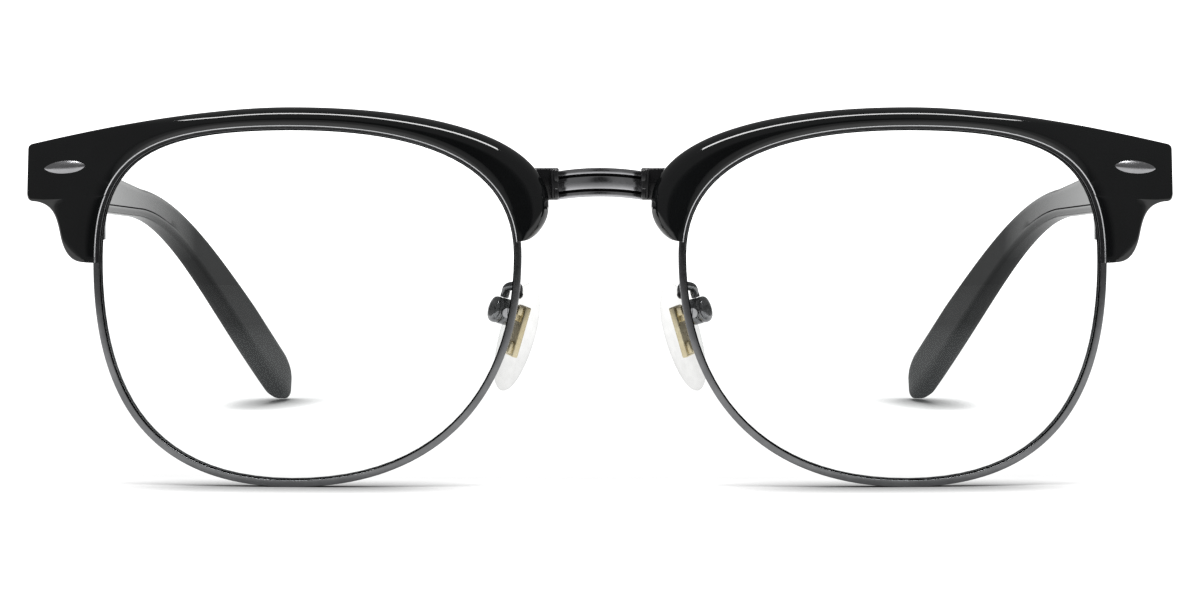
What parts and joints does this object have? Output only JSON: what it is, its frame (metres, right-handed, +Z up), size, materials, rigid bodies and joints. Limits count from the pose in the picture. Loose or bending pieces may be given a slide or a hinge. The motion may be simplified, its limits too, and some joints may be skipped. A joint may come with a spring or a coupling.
{
  "type": "half rim eyeglasses",
  "caption": "Half rim browline eyeglasses: glossy black brow bars over thin metal rims with clear lenses, folding temples and rocking nose pads.",
  "frame": {"origin": "under the middle of the open eyeglasses' bounding box, on the surface that they stand on", "axes": "+X to the wearer's left, +Y back towards the ears, +Z up"},
  "size_m": [0.143, 0.1384, 0.0469],
  "materials": {
    "gloss_plastic": "polished black",
    "gunmetal": "polished gunmetal plating",
    "plaque": "polished domed metal",
    "screw": "dark plated steel",
    "pad_insert": "satin gold plating",
    "lens": "clear, lightly coated",
    "silicone": "clear silicone"
  },
  "bodies": {
    "front": {"bridge": "gunmetal", "brow_left": "gloss_plastic", "plaque_left": "plaque", "rim_left": "gunmetal", "lens_left": "lens", "end_piece_left": "gunmetal", "rim_lock_left": "gunmetal", "closing_screw_left": "screw", "brow_screw_outer_left": "screw", "brow_screw_inner_left": "screw", "bridge_lug_left": "gunmetal", "pad_arm_left": "gunmetal", "pad_box_left": "gunmetal", "pad_screw_left": "screw", "hinge_screw_left": "screw", "brow_right": "gloss_plastic", "plaque_right": "plaque", "rim_right": "gunmetal", "lens_right": "lens", "end_piece_right": "gunmetal", "rim_lock_right": "gunmetal", "closing_screw_right": "screw", "brow_screw_outer_right": "screw", "brow_screw_inner_right": "screw", "bridge_lug_right": "gunmetal", "pad_arm_right": "gunmetal", "pad_box_right": "gunmetal", "pad_screw_right": "screw", "hinge_screw_right": "screw"},
    "temple_left": {"temple_left": "gloss_plastic", "temple_core_left": "gunmetal"},
    "temple_right": {"temple_right": "gloss_plastic", "temple_core_right": "gunmetal"},
    "nose_pad_left": {"nose_pad_left": "silicone", "pad_insert_left": "pad_insert"},
    "nose_pad_right": {"nose_pad_right": "silicone", "pad_insert_right": "pad_insert"}
  },
  "joints": [
    {"name": "temple_left_fold", "type": "hinge", "parent": "front", "child": "temple_left", "pos_m": [0.0654, -0.05705, 0.0373], "axis": [0, 0, 1], "range_deg": [0, 80]},
    {"name": "temple_right_fold", "type": "hinge", "parent": "front", "child": "temple_right", "pos_m": [-0.0654, -0.05705, 0.0373], "axis": [0, 0, -1], "range_deg": [0, 85]},
    {"name": "nose_pad_left_rock", "type": "hinge", "parent": "front", "child": "nose_pad_left", "pos_m": [0.01233, -0.062, 0.02153], "axis": [0.3725, 0.9219, 0.1068], "range_deg": [-8, 8]},
    {"name": "nose_pad_right_rock", "type": "hinge", "parent": "front", "child": "nose_pad_right", "pos_m": [-0.01233, -0.062, 0.02153], "axis": [0.3725, -0.9219, -0.1068], "range_deg": [-8, 8]}
  ]
}
